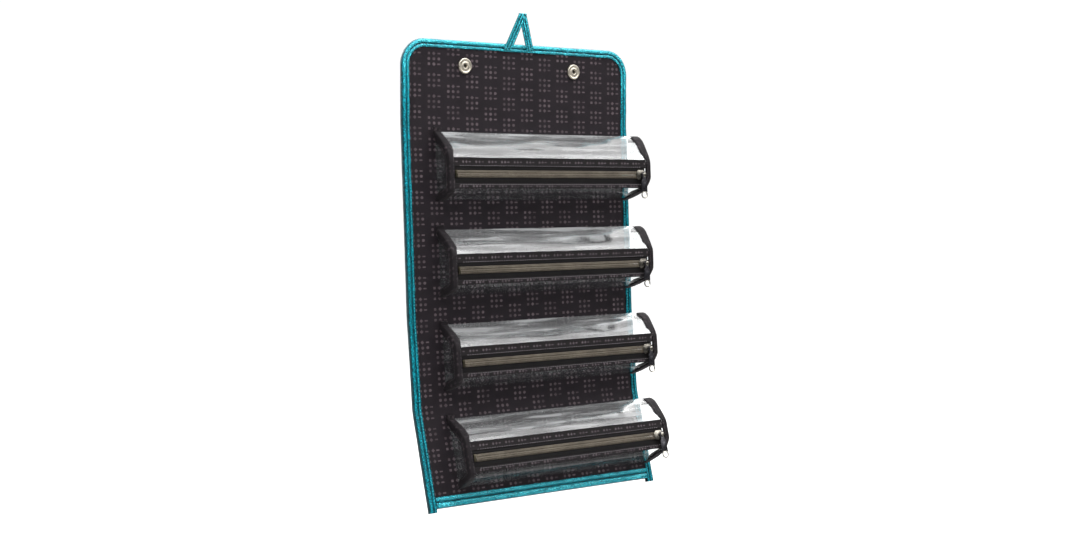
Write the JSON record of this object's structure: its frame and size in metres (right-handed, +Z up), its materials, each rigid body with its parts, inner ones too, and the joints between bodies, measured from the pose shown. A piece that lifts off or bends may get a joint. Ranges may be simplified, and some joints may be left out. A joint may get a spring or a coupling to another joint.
{
  "type": "travel jewelry case",
  "caption": "Hanging roll-up jewelry case: padded folding panel with bound edges, hanging loop, press snaps and clear zip pouches with sliding pulls.",
  "frame": {"origin": "on the hook's axis in the hanging loop's eye, 10 mm above the middle of the panel's top edge, in the plane of the lining's face", "axes": "+X along the width to the viewer's right, +Z up, the pouches face -Y"},
  "size_m": [0.3065, 0.0809, 0.5165],
  "materials": {
    "metallic_faux_leather": "metallic pebbled",
    "foam": "matte",
    "printed_lining": "woven with a small geometric print",
    "clear_vinyl": "glossy clear",
    "pouch_binding": "ribbed woven",
    "zip_tape": "woven",
    "zip_coil": "satin bronze grey",
    "nickel": "polished nickel",
    "gunmetal": "gloss black"
  },
  "bodies": {
    "flap": {"flap_outer_shell": "metallic_faux_leather", "flap_padding": "foam", "flap_lining": "printed_lining", "flap_binding": "metallic_faux_leather", "hanging_loop": "metallic_faux_leather", "snap_sockets": "nickel"},
    "section_1": {"section_1_outer_shell": "metallic_faux_leather", "section_1_padding": "foam", "section_1_lining": "printed_lining", "section_1_side_bindings": "metallic_faux_leather", "pouch_1_vinyl": "clear_vinyl", "pouch_1_end_panels": "clear_vinyl", "pouch_1_end_bindings": "pouch_binding", "pouch_1_zip_facings": "printed_lining", "pouch_1_zip_tapes": "zip_tape", "pouch_1_zip_coil": "zip_coil", "pouch_1_zip_stops": "nickel"},
    "section_2": {"section_2_outer_shell": "metallic_faux_leather", "section_2_padding": "foam", "section_2_lining": "printed_lining", "section_2_side_bindings": "metallic_faux_leather", "pouch_2_vinyl": "clear_vinyl", "pouch_2_end_panels": "clear_vinyl", "pouch_2_end_bindings": "pouch_binding", "pouch_2_zip_facings": "printed_lining", "pouch_2_zip_tapes": "zip_tape", "pouch_2_zip_coil": "zip_coil", "pouch_2_zip_stops": "nickel"},
    "section_3": {"section_3_outer_shell": "metallic_faux_leather", "section_3_padding": "foam", "section_3_lining": "printed_lining", "section_3_side_bindings": "metallic_faux_leather", "pouch_3_vinyl": "clear_vinyl", "pouch_3_end_panels": "clear_vinyl", "pouch_3_end_bindings": "pouch_binding", "pouch_3_zip_facings": "printed_lining", "pouch_3_zip_tapes": "zip_tape", "pouch_3_zip_coil": "zip_coil", "pouch_3_zip_stops": "nickel"},
    "section_4": {"section_4_outer_shell": "metallic_faux_leather", "section_4_padding": "foam", "section_4_lining": "printed_lining", "section_4_side_bindings": "metallic_faux_leather", "bottom_binding": "metallic_faux_leather", "snap_studs": "nickel", "pouch_4_vinyl": "clear_vinyl", "pouch_4_end_panels": "clear_vinyl", "pouch_4_end_bindings": "pouch_binding", "pouch_4_zip_facings": "printed_lining", "pouch_4_zip_tapes": "zip_tape", "pouch_4_zip_coil": "zip_coil", "pouch_4_zip_stops": "nickel"},
    "slider_1": {"pouch_1_slider": "nickel"},
    "pull_1": {"pouch_1_pull": "gunmetal"},
    "slider_2": {"pouch_2_slider": "nickel"},
    "pull_2": {"pouch_2_pull": "gunmetal"},
    "slider_3": {"pouch_3_slider": "nickel"},
    "pull_3": {"pouch_3_pull": "gunmetal"},
    "slider_4": {"pouch_4_slider": "nickel"},
    "pull_4": {"pouch_4_pull": "gunmetal"}
  },
  "joints": [
    {"name": "fold_1", "type": "hinge", "parent": "flap", "child": "section_1", "pos_m": [0, -0.007, -0.095], "axis": [-1, 0, 0], "range_deg": [0, 87]},
    {"name": "fold_2", "type": "hinge", "parent": "section_1", "child": "section_2", "pos_m": [0, -0.01239, -0.19786], "axis": [-1, 0, 0], "range_deg": [0, 90]},
    {"name": "fold_3", "type": "hinge", "parent": "section_2", "child": "section_3", "pos_m": [0, -0.01762, -0.29772], "axis": [-1, 0, 0], "range_deg": [0, 87]},
    {"name": "fold_4", "type": "hinge", "parent": "section_3", "child": "section_4", "pos_m": [0, -0.0274, -0.39071], "axis": [-1, 0, 0], "range_deg": [0, 80]},
    {"name": "zip_1_slide", "type": "slide", "parent": "section_1", "child": "slider_1", "axis": [-1, 0, 0], "range_m": [0, 0.2395]},
    {"name": "pull_1_swing", "type": "hinge", "parent": "slider_1", "child": "pull_1", "pos_m": [0.1455, -0.03608, -0.1493], "axis": [0, 0.9986, -0.0523], "range_deg": [-90, 90]},
    {"name": "zip_2_slide", "type": "slide", "parent": "section_2", "child": "slider_2", "axis": [-1, 0, 0], "range_m": [0, 0.2395]},
    {"name": "pull_2_swing", "type": "hinge", "parent": "slider_2", "child": "pull_2", "pos_m": [0.1455, -0.04126, -0.24817], "axis": [0, 0.9986, -0.0523], "range_deg": [-90, 90]},
    {"name": "zip_3_slide", "type": "slide", "parent": "section_3", "child": "slider_3", "axis": [-1, 0, 0], "range_m": [0, 0.2395]},
    {"name": "pull_3_swing", "type": "hinge", "parent": "slider_3", "child": "pull_3", "pos_m": [0.1455, -0.04872, -0.34297], "axis": [0, 0.9945, -0.1045], "range_deg": [-90, 90]},
    {"name": "zip_4_slide", "type": "slide", "parent": "section_4", "child": "slider_4", "axis": [-1, 0, 0], "range_m": [0, 0.2395]},
    {"name": "pull_4_swing", "type": "hinge", "parent": "slider_4", "child": "pull_4", "pos_m": [0.1455, -0.06795, -0.43708], "axis": [0, 0.9613, -0.2756], "range_deg": [-90, 90]}
  ]
}
